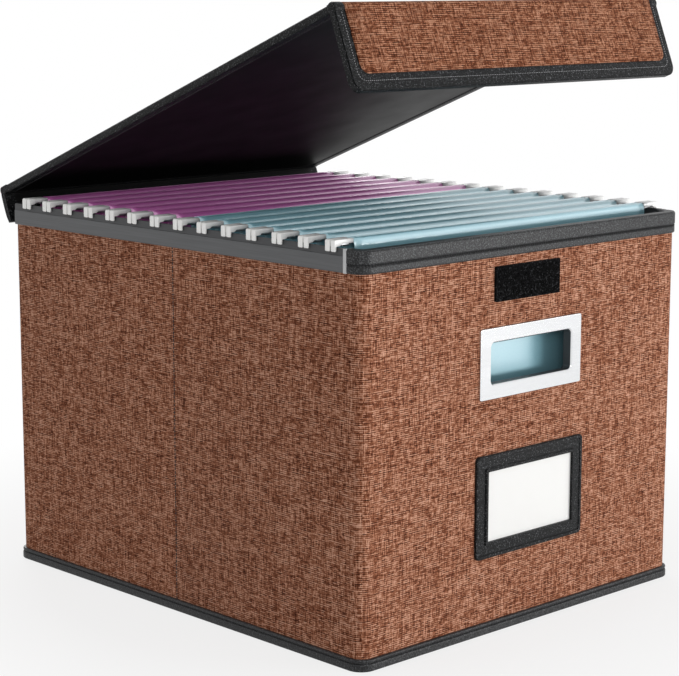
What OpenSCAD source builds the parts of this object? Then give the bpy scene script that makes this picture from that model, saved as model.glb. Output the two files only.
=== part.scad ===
// Collapsible file box covered in woven linen, with a hinged lid, a closing flap, two hanging rails and a row
// of letter-size hanging folders. Millimetres. X runs to the right along the front, Y to the back, Z up.
// The origin is the middle of the bottom, on the surface that the box stands on.

/* [Box body] */
// Width of the box over its linen cover
body_w = 312; // [280:1:420]
// Depth of the box over its linen cover, front to back
body_d = 364; // [330:1:460]
// Height of the top of the front rim above the table
rim_z = 266; // [240:1:320]
// How much lower the side panels end, which leaves room for the rails
side_drop = 8.5; // [7:0.5:12]
// Outer radius of the four upright corners
corner_r = 9; // [7:0.5:11]
// Thickness of the stiffening boards in the walls
board_t = 3.5; // [2.5:0.1:4.5]
// Thickness of the linen cover
cover_t = 0.8; // [0.5:0.1:1.2]
// Thickness of the inner lining
lining_t = 0.7; // [0.4:0.1:1]
// Depth position of the stitched fold down the middle of each side
fold_y = -1.5; // [-10:0.5:10]
// Gap between the two boards of a side, where it folds
fold_gap = 3; // [2:0.5:5]

/* [Base] */
// Thickness of the bottom board
base_board_t = 3.5; // [2.5:0.1:4.5]
// Thickness of the loose stiffening pad on the floor of the box
base_pad_t = 3; // [2:0.1:5]
// Gap between the pad's edge and the lining
base_pad_gap = 0.4; // [0.3:0.1:1.5]
// Height of the binding round the bottom edge
base_binding_h = 8; // [6.5:0.5:12]
// How far the bottom binding stands out from the linen
base_binding_out = 2.3; // [1.6:0.1:3]

/* [Rim] */
// Height of the binding over the rim, front and back
rim_binding_h = 15; // [12:0.5:20]
// Height of the bead below the seam of the rim binding
rim_bead_h = 5; // [3.5:0.5:6]
// How far the front rim binding stands out from the linen
rim_binding_out = 1.8; // [1.3:0.1:2.4]
// Thickness of the flat back rim binding, which the closed lid passes
back_binding_out = 1.3; // [0.9:0.1:1.5]
// Thickness of the binding's inner leg
rim_binding_in = 0.9; // [0.6:0.1:1.2]

/* [Rails] */
// Distance from the front of the box to the front end of the rails
rail_front = 14.5; // [12:0.5:20]
// Distance from the back of the box to the rear end of the rails
rail_rear = 5.5; // [5:0.5:12]
// Thickness of the rails' walls
rail_t = 1.7; // [1.3:0.1:2.2]
// Clearance between a rail's walls and the panel that it clips on
rail_clear = 0.15; // [0.1:0.05:0.3]
// Depth of the step that sets the upper part of a rail back
rail_step = 0.4; // [0.2:0.1:0.6]

/* [Hanging folders] */
// Folders behind, in the first colour
rear_folders = 7; // [7:1:7]
// Distance from the rails' rear end to the middle of the rearmost folder
rear_room = 16.5; // [14:0.5:24]
// Distance from the rails' front end to the middle of the front folder
front_room = 10.3; // [10:0.1:20]
// Overall length of a folder rod, from hook to hook, more than the rails' spread
rod_over = 7; // [6.6:0.1:8]
// Distance between the two rods of a folder
rod_gap = 5.2; // [4.8:0.1:6]
// Thickness of a hook
hook_t = 3.6; // [3:0.1:4]
// Height of a rod's hook end above the rail
hook_h = 4.4; // [4:0.1:5]
// Height of the bar between the hook and the top fold
bar_h = 2.6; // [2.4:0.1:3.5]
// How far a hook reaches down outside the rail
hook_drop = 3.1; // [2.5:0.1:3.6]
// Clearance between a hook and the rail that it hangs on
hook_clear = 0.3; // [0.2:0.05:0.4]
// Radius of the wire inside a folder's top fold
rod_r = 1.2; // [1:0.1:1.3]
// Thickness of a folder's sheet
sheet_t = 0.6; // [0.4:0.1:0.8]
// Length of the hook end that shows beside the top fold
hook_len = 16.5; // [12:0.5:20]
// Height of a folder, from its top fold to its bottom fold
sheet_h = 238; // [180:1:240]

/* [Handles] */
// Width of a handle's frame
bezel_w = 100.5; // [90:0.5:120]
// Height of a handle's frame
bezel_h = 47; // [42:0.5:56]
// Width of the grip opening
grip_w = 80; // [70:0.5:84]
// Height of the grip opening
grip_h = 27.5; // [24:0.5:34]
// Corner radius of the grip opening
grip_r = 3; // [2:0.5:5]
// Outer corner radius of a handle's frame
bezel_r = 1.5; // [1.3:0.1:5]
// Height of the middle of the handles above the table
handle_z = 181.7; // [150:0.1:185]
// How far a handle's frame stands out from the linen
bezel_out = 1.6; // [1.2:0.1:1.6]
// Wall of the handle's collar through the panel
collar_t = 1.2; // [0.9:0.1:1.6]

/* [Closure and label] */
// Width of the closure patches
patch_w = 63; // [50:1:80]
// Height of the loop patch on the front
patch_h = 23; // [18:0.5:26]
// Sideways position of the closure patches
patch_x = -5; // [-20:0.5:20]
// Height of the loop patch's middle above the table
patch_z = 233.4; // [232:0.1:236]
// Corner radius of the closure patches
patch_r = 0.6; // [0.4:0.1:3]
// Thickness of each closure patch
patch_t = 1.8; // [1:0.1:2]
// Width of the label frame
label_w = 106.5; // [94:0.5:120]
// Height of the label frame
label_h = 69.5; // [62:0.5:80]
// Width of the window in the label frame
window_w = 85; // [70:0.5:88]
// Height of the window in the label frame
window_h = 47.5; // [40:0.5:52]
// Sideways position of the label frame
label_x = 0.5; // [-20:0.5:20]
// Height of the label frame's middle above the table
label_z = 86.6; // [70:0.1:110]
// Thickness of the label frame
label_t = 2.5; // [2:0.1:3]
// Thickness of the card behind the window
card_t = 0.4; // [0.3:0.1:0.6]

/* [Lid] */
// Angle that the lid stands open in this pose
lid_open = 21.3; // [0:0.1:90]
// Thickness of the lid and of its flap
lid_t = 5.5; // [5:0.1:6.5]
// Height of the closed lid's underside above the top of the hooks
lid_clear = 2; // [1:0.1:6]
// Depth of the flap in front of the closed box, from the linen to the flap's inner face
flap_gap = 4.3; // [4.1:0.1:8]
// Height of the flap
flap_h = 56; // [50:0.5:70]
// Width of the binding along the sides of the lid and flap
lid_binding_w = 9; // [7:0.5:12]
// Width of the binding along the bottom of the flap
flap_binding_w = 10.5; // [9:0.5:14]
// Corner radius at the bottom of the flap
flap_r = 7.5; // [4:0.5:9]
// Thickness of the lid's and flap's boards
lid_board_t = 3.3; // [2.5:0.1:3.6]
// Thickness of the strip that joins the lid to the back of the box
spine_t = 2.8; // [2.4:0.1:3.2]
// Radius of the piping that the spine turns on
pipe_r = 1.5; // [1.2:0.1:1.6]
// Clearance at the hinge lines of the lid
hinge_clear = 0.3; // [0.2:0.05:0.4]

/* [Hidden] */
$fn = 48;
folders = 14;
sheet_names = [for (i = [1 : folders]) str("folder_", i < 10 ? "0" : "", i)];
rod_names = [for (i = [1 : folders]) str("rods_", i < 10 ? "0" : "", i)];

// Colours as they look
linen = "#96604a";
binding = "#3a3b3d";
grey_plastic = "#565758";
satin_metal = "#d4d5d6";
board_grey = "#8a857b";
lining_black = "#1c1b1d";
folder_purple = "#7c4470";
folder_blue = "#6f9aa6";
hook_white = "#eeefee";
card_white = "#f6f6f4";
fabric_black = "#17171a";

// Walls: half sizes, the thickness of a whole wall, and the levels of its edges
half_w = body_w / 2;
half_d = body_d / 2;
wall_t = cover_t + board_t + lining_t;
side_top = rim_z - side_drop;
edge_t = 0.8;
board_top = rim_z - edge_t;
floor_z = cover_t + base_board_t;
pad_z = floor_z + lining_t;

// Rails: a clip over the side panel with an upstanding rib, from which the folders hang
rail_y0 = -half_d + rail_front;
rail_y1 = half_d - rail_rear;
return_y = rail_y0 - 0.3;
back_return_y = rail_y1 + 0.7;
rail_out = rail_clear + rail_t;
rib_out = rail_out - rail_step;
rib_top = rim_z + 0.3;
rail_foot = rim_z - rim_binding_h + 0.2;

// Folders: they share the rails' length evenly, the hook straddles the rib, and the wire runs in the top fold
first_folder_y = rail_y1 - rear_room;
folder_pitch = (rail_y1 - rear_room - rail_y0 - front_room) / (folders - 1);
hook_z = rib_top + hook_clear;
hook_top = hook_z + hook_h;
rod_half = half_w + rod_over / 2;
rod_z = hook_top - rod_r - sheet_t - 0.1;
loop_r = rod_r + 0.15;
fold_half = rod_half - hook_len;
shoulder_half = half_w - wall_t - rail_clear - rail_t - 2.4;
shoulder_z = rail_foot + 5;
leaf_y = rod_gap / 2 + loop_r + sheet_t;
sheet_z = hook_top - sheet_h;

// Front handle and label: levels on the front face
front_y = -half_d;

// Lid: drawn closed and turned open about the piping on the back
lid_half = half_w + 0.2;
lid_z0 = hook_top + lid_clear;
lid_z1 = lid_z0 + lid_t;
lid_skin = (lid_t - lid_board_t) / 2;
pipe_y = half_d + back_binding_out + hinge_clear + spine_t / 2;
pipe_z = rim_z - rim_binding_h + 0.6;
roll_r = lid_t / 2;
roll_z = lid_z0 + roll_r;
flap_y1 = -half_d - flap_gap;
flap_y0 = flap_y1 - lid_t;
flap_z0 = lid_z1 - flap_h;
crease_y = flap_y0 + roll_r;
roll_block = 3;
lid_y0 = crease_y + roll_block;
lid_y1 = pipe_y - roll_block;

echo(closed_height = lid_z1, closed_depth = pipe_y + roll_r - flap_y0, rod_length = 2 * rod_half);

// A rectangle with round corners, centred
module round_rect(w, d, r) {
    square([w - 2 * r, d], center = true);
    square([w, d - 2 * r], center = true);
    for (x = [-1, 1], y = [-1, 1])
        translate([x * (w / 2 - r), y * (d / 2 - r)])
            circle(r);
}

// The box's outline seen from above, drawn in by inset
module outline(inset) {
    round_rect(body_w - 2 * inset, body_d - 2 * inset, corner_r - inset);
}

// Runs a profile round a rectangle with round corners: the profile's x is the distance out from the path,
// its y is the height
module ring_sweep(w, d, r) {
    for (side = [0 : 3]) {
        across = side % 2 == 0 ? w : d;
        away = side % 2 == 0 ? d / 2 : w / 2;
        rotate([0, 0, 90 * side])
            translate([-(across / 2 - r), -away, 0])
                rotate([90, 0, 90])
                    linear_extrude(across - 2 * r)
                        mirror([1, 0])
                            children();
        rotate([0, 0, 90 * side])
            translate([across / 2 - r, -away + r, 0])
                rotate([0, 0, -90])
                    rotate_extrude(angle = 90)
                        translate([r, 0])
                            children();
    }
}

// A band that stands out from a surface at x = 0, with its two outer edges rounded
module soft_band(z0, z1, out, r) {
    intersection() {
        union() {
            translate([0, z0])
                square([out - r, z1 - z0]);
            translate([0, z0 + r])
                square([out, z1 - z0 - 2 * r]);
            for (z = [z0 + r, z1 - r])
                translate([out - r, z])
                    circle(r);
        }
        translate([0, z0])
            square([out, z1 - z0]);
    }
}

// A flat piece on the front face: 2D x and y become x and z, and depth d goes forward from y
module on_front(y, d) {
    translate([0, y, 0])
        rotate([90, 0, 0])
            linear_extrude(d)
                children();
}

// Turns a piece of the front round to the back
module to_back() {
    rotate([0, 0, 180])
        children();
}

module mirror_x() {
    mirror([1, 0, 0])
        children();
}

// Opens the lid by its angle
module lid_place() {
    translate([0, pipe_y, pipe_z])
        rotate([-lid_open, 0, 0])
            translate([0, -pipe_y, -pipe_z])
                children();
}

// ---- Base ----

module base_cover() {
    color(fabric_black)
        linear_extrude(cover_t)
            outline(0);
}

module base_board() {
    color(board_grey)
        translate([0, 0, cover_t])
            linear_extrude(base_board_t)
                outline(cover_t);
}

module base_binding() {
    bead_h = 2.2;
    groove_h = 0.6;
    groove_out = base_binding_out - 1.1;
    band_top = base_binding_h - bead_h - groove_h;
    color(binding)
        ring_sweep(body_w, body_d, corner_r) {
            union() {
                soft_band(0, band_top, base_binding_out, 1.1);
                translate([0, band_top - 0.5])
                    square([groove_out, groove_h + 1]);
                soft_band(band_top + groove_h, base_binding_h, base_binding_out - 0.2, 0.9);
            }
        }
}

module base_pad() {
    room_w = body_w - 2 * (wall_t + base_pad_gap);
    room_d = body_d - 2 * (wall_t + base_pad_gap);
    color(lining_black)
        translate([0, 0, pad_z])
            linear_extrude(base_pad_t)
                round_rect(room_w, room_d, 3);
}

// ---- Walls ----

// Takes the tops of the side walls down to the rails' seat
module side_cuts(inner) {
    for (x = [-1, 1])
        translate([x * half_w, (return_y + back_return_y) / 2, side_top + side_drop])
            cube([2 * inner, back_return_y - return_y, 2 * side_drop], center = true);
}

// The opening that a handle's collar passes
module grip_hole(extra) {
    for (turn = [0, 180])
        rotate([0, 0, turn])
            translate([0, 0, handle_z])
                on_front(-half_d + 3 * wall_t, 6 * wall_t)
                    round_rect(grip_w + 2 * extra, grip_h + 2 * extra, grip_r + extra);
}

module linen_cover() {
    groove = 0.8;
    color(linen)
        difference() {
            translate([0, 0, cover_t])
                linear_extrude(board_top - cover_t)
                    difference() {
                        outline(0);
                        outline(cover_t);
                    }
            side_cuts(corner_r + 2);
            grip_hole(collar_t + 0.2);
            for (x = [-1, 1])
                translate([x * half_w, fold_y, rim_z / 2])
                    rotate([0, 0, 45])
                        cube([groove, groove, rim_z * 2], center = true);
        }
}

module inner_lining() {
    in_board = cover_t + board_t;
    color(lining_black)
        difference() {
            translate([0, 0, (floor_z + board_top) / 2])
                cube([body_w - 2 * in_board, body_d - 2 * in_board, board_top - floor_z], center = true);
            translate([0, 0, pad_z + rim_z / 2])
                cube([body_w - 2 * wall_t, body_d - 2 * wall_t, rim_z], center = true);
            side_cuts(corner_r + 2);
            grip_hole(collar_t + 0.2);
        }
}

module end_board() {
    difference() {
        intersection() {
            translate([0, 0, floor_z])
                linear_extrude(board_top - floor_z)
                    outline(cover_t);
            translate([0, -half_d + cover_t + board_t / 2, rim_z / 2])
                cube([body_w, board_t, 2 * rim_z], center = true);
        }
        grip_hole(collar_t + 0.2);
    }
}

module front_board() {
    color(board_grey)
        end_board();
}

module back_board() {
    color(board_grey)
        to_back()
            end_board();
}

module side_boards() {
    end_y = half_d - cover_t - board_t;
    difference() {
        intersection() {
            translate([0, 0, floor_z])
                linear_extrude(board_top - floor_z)
                    outline(cover_t);
            translate([-half_w + cover_t, -end_y, 0])
                cube([board_t, 2 * end_y, 2 * rim_z]);
        }
        side_cuts(corner_r + 2);
        translate([-half_w, fold_y, rim_z / 2])
            cube([3 * wall_t, fold_gap, 3 * rim_z], center = true);
    }
}

module left_side_boards() {
    color(board_grey)
        side_boards();
}

module right_side_boards() {
    color(board_grey)
        mirror_x()
            side_boards();
}

// ---- Rim ----

// Inner leg and top of a rim binding, over a wall of thickness wall_t
module rim_hook(out) {
    inner = wall_t + rim_binding_in;
    foot = rim_z - rim_binding_h + 1;
    translate([-inner, foot])
        square([rim_binding_in, rim_z - foot - 0.5]);
    translate([-inner + 0.5, board_top])
        square([inner + out - 1.3, edge_t]);
    translate([-inner + 0.5, board_top + edge_t - 0.5])
        circle(0.5);
}

module rim_binding_front() {
    seam_z = rim_z - rim_binding_h + rim_bead_h;
    color(binding)
        intersection() {
            ring_sweep(body_w, body_d, corner_r) {
                union() {
                    soft_band(rim_z - rim_binding_h, seam_z, rim_binding_out - 0.2, 1.2);
                    translate([0, seam_z - 1])
                        square([rim_binding_out - 1, 2.4]);
                    soft_band(seam_z + 0.5, rim_z, rim_binding_out, rim_binding_out - 0.1);
                    rim_hook(rim_binding_out);
                }
            }
            translate([-body_w, -body_d, 0])
                cube([2 * body_w, body_d + return_y, 2 * rim_z]);
        }
}

// The back binding is flat, and its piping along the lower edge carries the lid's spine
module rim_binding_back() {
    color(binding) {
        intersection() {
            ring_sweep(body_w, body_d, corner_r) {
                union() {
                    translate([0, rim_z - rim_binding_h])
                        square([back_binding_out, rim_binding_h - 0.6]);
                    translate([0, board_top])
                        square([back_binding_out - 0.6, edge_t]);
                    translate([back_binding_out - 0.6, rim_z - 0.6])
                        circle(0.6);
                    rim_hook(back_binding_out);
                }
            }
            translate([-body_w, back_return_y, 0])
                cube([2 * body_w, body_d, 2 * rim_z]);
        }
        translate([-(half_w - corner_r), half_d, pipe_z - 0.5])
            cube([2 * (half_w - corner_r), pipe_y - half_d, 1]);
        translate([-(half_w - corner_r), pipe_y, pipe_z])
            rotate([0, 90, 0])
                cylinder(r = pipe_r, h = 2 * (half_w - corner_r));
    }
}

// ---- Rails ----

module rail() {
    inner = wall_t + rail_clear;
    step_z = rib_top - 4.5;
    rib_in = rail_clear + 0.2;
    web_top = side_top + rail_t;
    lead = 0.5;
    translate([-half_w, rail_y0, 0])
        rotate([90, 0, 180])
            linear_extrude(rail_y1 - rail_y0)
                polygon([
                    [rail_out - lead, rail_foot],
                    [rail_out, rail_foot + lead],
                    [rail_out, step_z - rail_step],
                    [rib_out, step_z],
                    [rib_out, rib_top - lead],
                    [rib_out - lead, rib_top],
                    [-rib_in + lead, rib_top],
                    [-rib_in, rib_top - lead],
                    [-rib_in, web_top],
                    [-inner - rail_t + lead, web_top],
                    [-inner - rail_t, web_top - lead],
                    [-inner - rail_t, rail_foot + lead],
                    [-inner - rail_t + lead, rail_foot],
                    [-inner, rail_foot + lead],
                    [-inner, side_top],
                    [rail_clear, side_top],
                    [rail_clear, rail_foot + lead]
                ]);
}

module left_rail() {
    color(grey_plastic)
        rail();
}

module right_rail() {
    color(grey_plastic)
        mirror_x()
            rail();
}

// ---- Handles ----

// The metal frame in front, with a collar through the panel
module handle_bezel() {
    rim = 0.6;
    color(satin_metal)
        translate([0, -half_d, handle_z])
            rotate([90, 0, 0]) {
                difference() {
                    union() {
                        linear_extrude(bezel_out - rim)
                            round_rect(bezel_w, bezel_h, bezel_r);
                        linear_extrude(bezel_out)
                            round_rect(bezel_w - 2 * rim, bezel_h - 2 * rim, bezel_r - rim);
                        translate([0, 0, bezel_out - rim])
                            ring_sweep(bezel_w - 2 * rim, bezel_h - 2 * rim, bezel_r - rim)
                                circle(rim);
                        translate([0, 0, -wall_t - 0.4])
                            linear_extrude(wall_t + 1)
                                round_rect(grip_w + 2 * collar_t, grip_h + 2 * collar_t, grip_r + collar_t);
                    }
                    translate([0, 0, -2 * wall_t])
                        linear_extrude(4 * wall_t)
                            round_rect(grip_w, grip_h, grip_r);
                    translate([0, 0, bezel_out])
                        ring_sweep(grip_w, grip_h, grip_r)
                            polygon([[-0.1, -0.8], [0.8, 0.1], [-0.1, 0.1]]);
                }
            }
}

// The flat ring inside that closes the sandwich
module handle_backing() {
    plate = 1.2;
    color(grey_plastic)
        translate([0, -half_d + wall_t + plate, handle_z])
            rotate([90, 0, 0])
                linear_extrude(plate)
                    difference() {
                        round_rect(bezel_w, bezel_h, bezel_r);
                        round_rect(grip_w + 2 * collar_t + 0.3, grip_h + 2 * collar_t + 0.3, grip_r + collar_t);
                    }
}

module front_handle_bezel() {
    handle_bezel();
}

module front_handle_backing() {
    handle_backing();
}

module back_handle_bezel() {
    to_back()
        handle_bezel();
}

module back_handle_backing() {
    to_back()
        handle_backing();
}

// ---- Closure patch and label on the front ----

module closure_loop_patch() {
    color(fabric_black)
        translate([patch_x, 0, patch_z])
            on_front(front_y, patch_t)
                round_rect(patch_w, patch_h, patch_r);
}

module label_frame() {
    outer_r = 3.5;
    roll = 1.1;
    lip_w = 2.4;
    lip_r = 1.7;
    window_r = 0.5;
    valley = label_t - 1;
    groove_at = 2.6;
    raised_w = window_w + 2 * lip_w;
    raised_h = window_h + 2 * lip_w;
    color(binding)
        translate([label_x, front_y, label_z])
            rotate([90, 0, 0])
                difference() {
                    union() {
                        linear_extrude(valley)
                            round_rect(label_w, label_h, outer_r);
                        ring_sweep(label_w, label_h, outer_r)
                            translate([-groove_at, 0])
                                intersection() {
                                    soft_band(0, valley + 0.6, groove_at, roll);
                                    square([groove_at, label_t]);
                                }
                        linear_extrude(label_t - 0.5)
                            round_rect(raised_w, raised_h, lip_r);
                        translate([0, 0, label_t - 0.5])
                            linear_extrude(0.5)
                                round_rect(raised_w - 1, raised_h - 1, lip_r - 0.5);
                    }
                    translate([0, 0, -1])
                        linear_extrude(label_t + 2)
                            round_rect(window_w, window_h, window_r);
                    translate([0, 0, valley - 0.4])
                        ring_sweep(label_w, label_h, outer_r)
                            translate([-groove_at - 0.6, 0])
                                square([0.7, 2]);
                    pocket();
                }
}

// The space behind the frame that the card slides into from above
module pocket() {
    gap = 0.1;
    translate([-(window_w / 2 + 3), -(window_h / 2 + 3), -1])
        cube([window_w + 6, window_h + 6 + label_h, card_t + gap + 1]);
}

module label_card() {
    color(card_white)
        translate([label_x, 0, label_z])
            on_front(front_y, card_t)
                square([window_w + 5, window_h + 5], center = true);
}

// ---- Lid ----

// The strip between the back of the box and the lid, hollowed below round the piping that it turns on
module lid_spine() {
    half = lid_half - lid_binding_w;
    color(linen)
        lid_place()
            difference() {
                translate([-half, pipe_y - spine_t / 2, pipe_z])
                    cube([2 * half, spine_t, lid_z0 - hinge_clear - pipe_z]);
                translate([-body_w, pipe_y, pipe_z])
                    rotate([0, 90, 0])
                        cylinder(r = pipe_r + hinge_clear, h = 2 * body_w);
            }
}

// The bound ends of the strip, which bow outwards beside the piping
module spine_binding() {
    bow = 1.2;
    top = lid_z0 - hinge_clear;
    half_h = (top - pipe_z) / 2;
    bow_r = (half_h * half_h + bow * bow) / (2 * bow);
    color(binding)
        lid_place()
            for (side = [0, 1])
                mirror([side, 0, 0])
                    translate([lid_half - lid_binding_w, 0, 0])
                        rotate([90, 0, 90])
                            linear_extrude(lid_binding_w)
                                intersection() {
                                    translate([pipe_y + spine_t / 2 + bow - bow_r, pipe_z + half_h])
                                        circle(bow_r, $fn = 256);
                                    translate([pipe_y - spine_t / 2, pipe_z])
                                        square([2 * spine_t, 2 * half_h]);
                                }
}

module lid_board() {
    inset = 1.2;
    color(board_grey)
        lid_place()
            translate([-lid_half + inset, lid_y0, lid_z0 + lid_skin])
                cube([2 * (lid_half - inset), lid_y1 - lid_y0, lid_board_t]);
}

module lid_cover() {
    color(linen)
        lid_place()
            translate([-lid_half + lid_binding_w, lid_y0, lid_z1 - lid_skin])
                cube([2 * (lid_half - lid_binding_w), lid_y1 - lid_y0, cover_t]);
}

module lid_lining() {
    color(lining_black)
        lid_place()
            translate([-lid_half + lid_binding_w, lid_y0, lid_z0 + lid_skin - lining_t])
                cube([2 * (lid_half - lid_binding_w), lid_y1 - lid_y0, lining_t]);
}

// Half of the U that wraps a long edge of the lid, its outer edges rounded
module edge_wrap(w, wall) {
    difference() {
        union() {
            square([w - 1.6, lid_t]);
            translate([0, 1.6])
                square([w, lid_t - 3.2]);
            for (z = [1.6, lid_t - 1.6])
                translate([w - 1.6, z])
                    circle(1.6);
        }
        translate([-1, lid_skin])
            square([w - wall + 1, lid_board_t]);
    }
}

module lid_binding() {
    wall = 1.2;
    color(binding)
        lid_place() {
            for (side = [0, 1])
                mirror([side, 0, 0])
                    translate([lid_half - lid_binding_w, lid_y1 + wall, lid_z0])
                        rotate([90, 0, 0])
                            linear_extrude(lid_y1 - lid_y0 + 2 * wall)
                                edge_wrap(lid_binding_w, wall);
            for (y = [crease_y, lid_y1])
                translate([-lid_half, y, lid_z0])
                    cube([2 * lid_half, roll_block, lid_t]);
            for (y = [crease_y, pipe_y])
                translate([-lid_half, y, roll_z])
                    rotate([0, 90, 0])
                        cylinder(r = roll_r, h = 2 * lid_half);
        }
}

// ---- Flap ----

// Ends a piece of the flap below the lid's front roll, which the flap turns on
module under_roll() {
    difference() {
        children();
        translate([-body_w, crease_y, roll_z])
            rotate([0, 90, 0])
                cylinder(r = roll_r + hinge_clear, h = 2 * body_w);
        translate([-body_w, crease_y, lid_z0 - hinge_clear])
            cube([2 * body_w, 2 * lid_t, 2 * lid_t]);
    }
}

// The flap's outline from the front, drawn in at the sides and the bottom
module flap_outline(side, bottom, r) {
    half = lid_half - side;
    low = flap_z0 + bottom;
    translate([-half, low + r])
        square([2 * half, roll_z - low - r]);
    translate([-half + r, low])
        square([2 * (half - r), 2 * r]);
    for (x = [-1, 1])
        translate([x * (half - r), low + r])
            circle(r);
}

module flap_board() {
    color(board_grey)
        lid_place()
            under_roll()
                on_front(flap_y1 - lid_skin, lid_board_t)
                    flap_outline(1.2, 1.2, flap_r - 1.2);
}

module flap_cover() {
    color(linen)
        lid_place()
            under_roll()
                on_front(flap_y0 + lid_skin, cover_t)
                    flap_outline(lid_binding_w, flap_binding_w, flap_r - 2);
}

module flap_lining() {
    color(lining_black)
        lid_place()
            under_roll()
                on_front(flap_y1 - lid_skin + lining_t, lining_t)
                    flap_outline(lid_binding_w, flap_binding_w, flap_r - 2);
}

module flap_binding() {
    color(binding)
        lid_place()
            under_roll()
                difference() {
                    union() {
                        on_front(flap_y1 - 0.6, lid_t - 1.2)
                            flap_outline(0, 0, flap_r);
                        on_front(flap_y1, lid_t)
                            flap_outline(0.6, 0.6, flap_r - 0.6);
                    }
                    on_front(flap_y1 + 1, lid_t + 2)
                        flap_outline(lid_binding_w, flap_binding_w, flap_r - 2);
                    on_front(flap_y1 - lid_skin, lid_board_t)
                        flap_outline(1.2, 1.2, flap_r - 1.2);
                }
}

module closure_hook_patch() {
    hook_h_side = patch_h - 3;
    color(fabric_black)
        lid_place()
            translate([patch_x, 0, patch_z + 2])
                on_front(flap_y1 + patch_t, patch_t)
                    round_rect(patch_w, hook_h_side, patch_r);
}

// ---- Hanging folders ----

function folder_y(i) = first_folder_y - folder_pitch * i;
function folder_tint(i) = i < rear_folders ? folder_purple : folder_blue;

// One leaf's loop round its wire, its wall, and half of the bottom fold, seen from the side
module leaf_profile() {
    difference() {
        union() {
            translate([leaf_y - loop_r - sheet_t, rod_z])
                circle(loop_r + sheet_t);
            translate([leaf_y - sheet_t, sheet_z + leaf_y])
                square([sheet_t, rod_z - sheet_z - leaf_y]);
        }
        translate([leaf_y - loop_r - sheet_t, rod_z])
            circle(loop_r);
    }
}

module bottom_fold() {
    translate([0, sheet_z + leaf_y])
        difference() {
            circle(leaf_y);
            circle(leaf_y - sheet_t);
            translate([-leaf_y - 1, 0])
                square([2 * leaf_y + 2, leaf_y + 1]);
        }
}

// The sheet's outline from the front: a narrow top fold, round shoulders and the wide body
module sheet_outline() {
    r = shoulder_half - fold_half;
    translate([-shoulder_half, sheet_z - 1])
        square([2 * shoulder_half, shoulder_z - sheet_z + 1]);
    translate([-fold_half, sheet_z])
        square([2 * fold_half, sheet_h + 2]);
    for (x = [-1, 1])
        translate([x * fold_half, shoulder_z])
            circle(r);
}

module folder_sheet(i) {
    color(folder_tint(i))
        translate([0, folder_y(i), 0])
            intersection() {
                translate([-half_w, 0, 0])
                    rotate([90, 0, 90])
                        linear_extrude(body_w) {
                            leaf_profile();
                            mirror([1, 0])
                                leaf_profile();
                            bottom_fold();
                        }
                translate([0, 2 * leaf_y, 0])
                    rotate([90, 0, 0])
                        linear_extrude(4 * leaf_y)
                            sheet_outline();
            }
}

// A hook end from the front: a bar with a foot on the rib and a round-tipped prong outside it
module hook_profile() {
    prong_in = half_w + rib_out + hook_clear;
    prong_t = rod_half - prong_in;
    tip = prong_t / 2;
    top_r = 1.2;
    foot_w = 2.5;
    translate([fold_half + 0.2, hook_top - bar_h])
        square([rod_half - top_r - fold_half - 0.2, bar_h]);
    translate([half_w - foot_w, hook_z])
        square([prong_in + tip - half_w + foot_w, hook_h - bar_h / 2]);
    translate([prong_in, hook_z - hook_drop + tip])
        square([prong_t, hook_h + hook_drop - tip - top_r]);
    translate([rod_half - top_r, hook_top - top_r])
        circle(top_r);
    translate([prong_in + tip, hook_z - hook_drop + tip])
        circle(tip);
}

module folder_rods(i) {
    color(hook_white)
        for (side = [-1, 1])
            translate([0, folder_y(i) + side * rod_gap / 2, 0]) {
                for (turn = [0, 1])
                    mirror([turn, 0, 0])
                        translate([0, hook_t / 2, 0])
                            rotate([90, 0, 0])
                                linear_extrude(hook_t)
                                    hook_profile();
                translate([-fold_half - 1, 0, rod_z])
                    rotate([0, 90, 0])
                        cylinder(r = rod_r, h = 2 * fold_half + 2);
            }
}

// ---- The whole box ----

base_cover();
base_board();
base_binding();
base_pad();
linen_cover();
inner_lining();
front_board();
back_board();
left_side_boards();
right_side_boards();
rim_binding_front();
rim_binding_back();
left_rail();
right_rail();
front_handle_bezel();
front_handle_backing();
back_handle_bezel();
back_handle_backing();
closure_loop_patch();
label_frame();
label_card();
lid_spine();
spine_binding();
lid_board();
lid_cover();
lid_lining();
lid_binding();
flap_board();
flap_cover();
flap_lining();
flap_binding();
closure_hook_patch();
for (i = [0 : folders - 1]) {
    folder_sheet(i);
    folder_rods(i);
}
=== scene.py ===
# %% [markdown]
# # Dressing a linen file box
#
# The box is greyboard wrapped in woven linen, with every raw edge bound in leatherette, a hinged lid with a
# closing flap, and hanging folders inside. The imported CAD model arrives as a fixed frame. Each visible piece
# then gets either its own mesh or a finish, and most new pieces ride on the part that carries them.

import math
import random

import bmesh
import bpy
from mathutils import Matrix, Vector


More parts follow.
